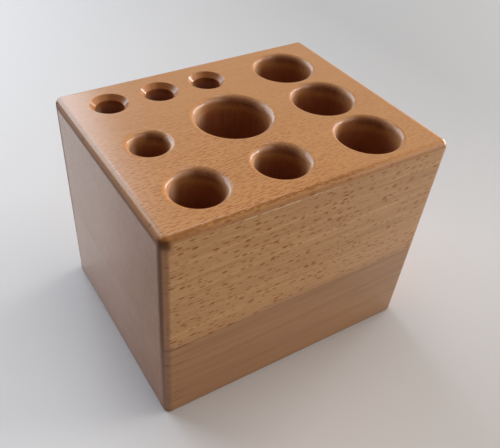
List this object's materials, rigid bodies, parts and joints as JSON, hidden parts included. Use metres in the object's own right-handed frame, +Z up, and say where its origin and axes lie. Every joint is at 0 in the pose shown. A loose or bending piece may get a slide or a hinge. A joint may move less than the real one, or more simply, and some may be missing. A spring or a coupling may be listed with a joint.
{
  "type": "tool holder block",
  "caption": "Solid beech block glued up from boards, with round holes of several diameters in the top to stand hand tools in, eased hole mouths and rounded edges.",
  "frame": {"origin": "middle of the underside, on the surface that the block stands on", "axes": "+Z up, +X along the grain, -Y is the long front face"},
  "size_m": [0.125, 0.1, 0.098],
  "materials": {
    "upper_beech": "satin lacquer over flecked beech",
    "lower_beech": "satin lacquer over straight-grained beech",
    "wood_glue": "cured glue film, flush with the wood"
  },
  "bodies": {
    "root": {"upper_board": "upper_beech", "glue_line": "wood_glue", "lower_board": "lower_beech"}
  },
  "joints": []
}
